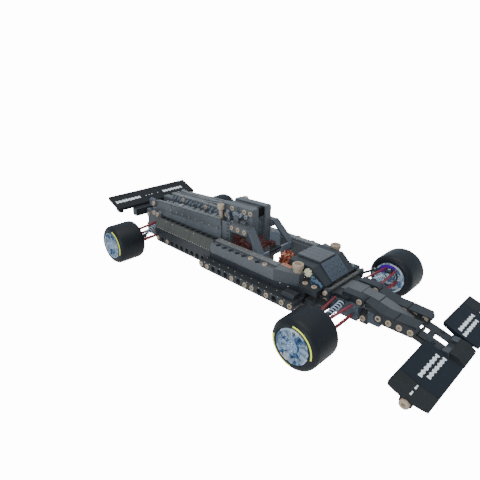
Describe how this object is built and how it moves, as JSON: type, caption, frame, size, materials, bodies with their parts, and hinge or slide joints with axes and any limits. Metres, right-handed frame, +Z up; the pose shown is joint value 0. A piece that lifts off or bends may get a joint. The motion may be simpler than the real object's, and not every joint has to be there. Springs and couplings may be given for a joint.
{
  "type": "toy open wheel racing car",
  "caption": "Building-set open wheel racing car with pinned beams and panels, slick tyres on spoked rims, rack steering, front and rear wings and an open cockpit.",
  "frame": {"origin": "on the ground, at the middle of the overall length and width", "axes": "+X towards the nose, +Y to the driver's left, +Z up"},
  "size_m": [0.3696, 0.1634, 0.072],
  "materials": {
    "tyre": "charcoal rubber with two yellow arcs on each sidewall",
    "rim": "light bluish grey moulded plastic",
    "tan": "tan plastic pins",
    "grey": "dark bluish grey moulded plastic",
    "brown": "dark reddish brown plastic",
    "rust": "rust orange plastic",
    "red": "dark red plastic rods",
    "spring": "pale blue spring legs",
    "olive": "olive black plastic",
    "screen": "blue grey ridged plastic",
    "blue": "dark blue plastic",
    "yellow": "pale yellow plastic cogs",
    "black": "black moulded plastic"
  },
  "bodies": {
    "chassis": {"airbox_core": "grey", "airbox_pillars": "black", "airbox_side_beams": "grey", "cockpit_walls": "black", "cowl_panel": "grey", "cowl_shell": "black", "cross_bar": "black", "cylinder_heads": "black", "dampers": "spring", "deck_side_panels": "grey", "engine_block": "black", "engine_spine": "black", "floor_cross_members": "black", "floor_rails": "black", "foot_blocks": "black", "foot_covers": "blue", "front_bulkhead": "black", "front_pod_panels": "grey", "front_wing_carriers": "black", "front_wing_panels": "grey", "front_wing_pins": "tan", "front_wishbones": "red", "gearbox": "black", "head_posts": "tan", "mirrors": "tan", "nose_arms": "black", "nose_centre_panels": "grey", "nose_lower_beams": "black", "nose_side_strips": "black", "nose_tip": "black", "pod_sides": "black", "rear_floor_beams": "black", "rear_pod_beams": "black", "rear_pod_tops": "olive", "rear_pod_uprights": "black", "rear_uprights": "rim", "rear_wing_ends": "black", "rear_wing_mount": "black", "rear_wing_plate": "grey", "rear_wishbones": "red", "seat": "brown", "shoulder_struts": "grey", "side_cogs": "yellow", "side_pins": "tan", "side_sills": "grey", "windscreen_panel": "screen"},
    "steering": {"steering_wheel": "rust", "steering_column": "black"},
    "rack": {"steering_rack": "red"},
    "left_steer": {"left_knuckle": "rim"},
    "right_steer": {"right_knuckle": "rim"},
    "front_left_wheel": {"front_left_tyre": "tyre", "front_left_rim": "rim"},
    "front_right_wheel": {"front_right_tyre": "tyre", "front_right_rim": "rim"},
    "rear_left_wheel": {"rear_left_tyre": "tyre", "rear_left_rim": "rim"},
    "rear_right_wheel": {"rear_right_tyre": "tyre", "rear_right_rim": "rim"}
  },
  "joints": [
    {"name": "steering_turn", "type": "hinge", "parent": "chassis", "child": "steering", "pos_m": [0.02675, 0, 0.0296], "axis": [1, 0, 0], "range_deg": [-60, 60]},
    {"name": "rack_slide", "type": "slide", "parent": "chassis", "child": "rack", "axis": [0, 1, 0], "range_m": [-0.0038, 0.0038]},
    {"name": "left_knuckle_turn", "type": "hinge", "parent": "chassis", "child": "left_steer", "pos_m": [0.09875, 0.051, 0.0195], "axis": [0, 0, 1], "range_deg": [-18.5, 18.5]},
    {"name": "right_knuckle_turn", "type": "hinge", "parent": "chassis", "child": "right_steer", "pos_m": [0.09875, -0.051, 0.0195], "axis": [0, 0, 1], "range_deg": [-18.5, 18.5]},
    {"name": "front_left_wheel_turn", "type": "hinge", "parent": "left_steer", "child": "front_left_wheel", "pos_m": [0.09875, 0.0672, 0.0195], "axis": [0, 1, 0], "continuous": true},
    {"name": "front_right_wheel_turn", "type": "hinge", "parent": "right_steer", "child": "front_right_wheel", "pos_m": [0.09875, -0.0672, 0.0195], "axis": [0, 1, 0], "continuous": true},
    {"name": "rear_left_wheel_turn", "type": "hinge", "parent": "chassis", "child": "rear_left_wheel", "pos_m": [-0.13325, 0.0672, 0.0195], "axis": [0, 1, 0], "continuous": true},
    {"name": "rear_right_wheel_turn", "type": "hinge", "parent": "chassis", "child": "rear_right_wheel", "pos_m": [-0.13325, -0.0672, 0.0195], "axis": [0, 1, 0], "continuous": true}
  ],
  "couplings": [
    {"joint": "rack_slide", "follows": "steering_turn", "m_per_rad": 0.0036},
    {"joint": "left_knuckle_turn", "follows": "steering_turn", "ratio": -0.306},
    {"joint": "right_knuckle_turn", "follows": "steering_turn", "ratio": -0.306}
  ]
}
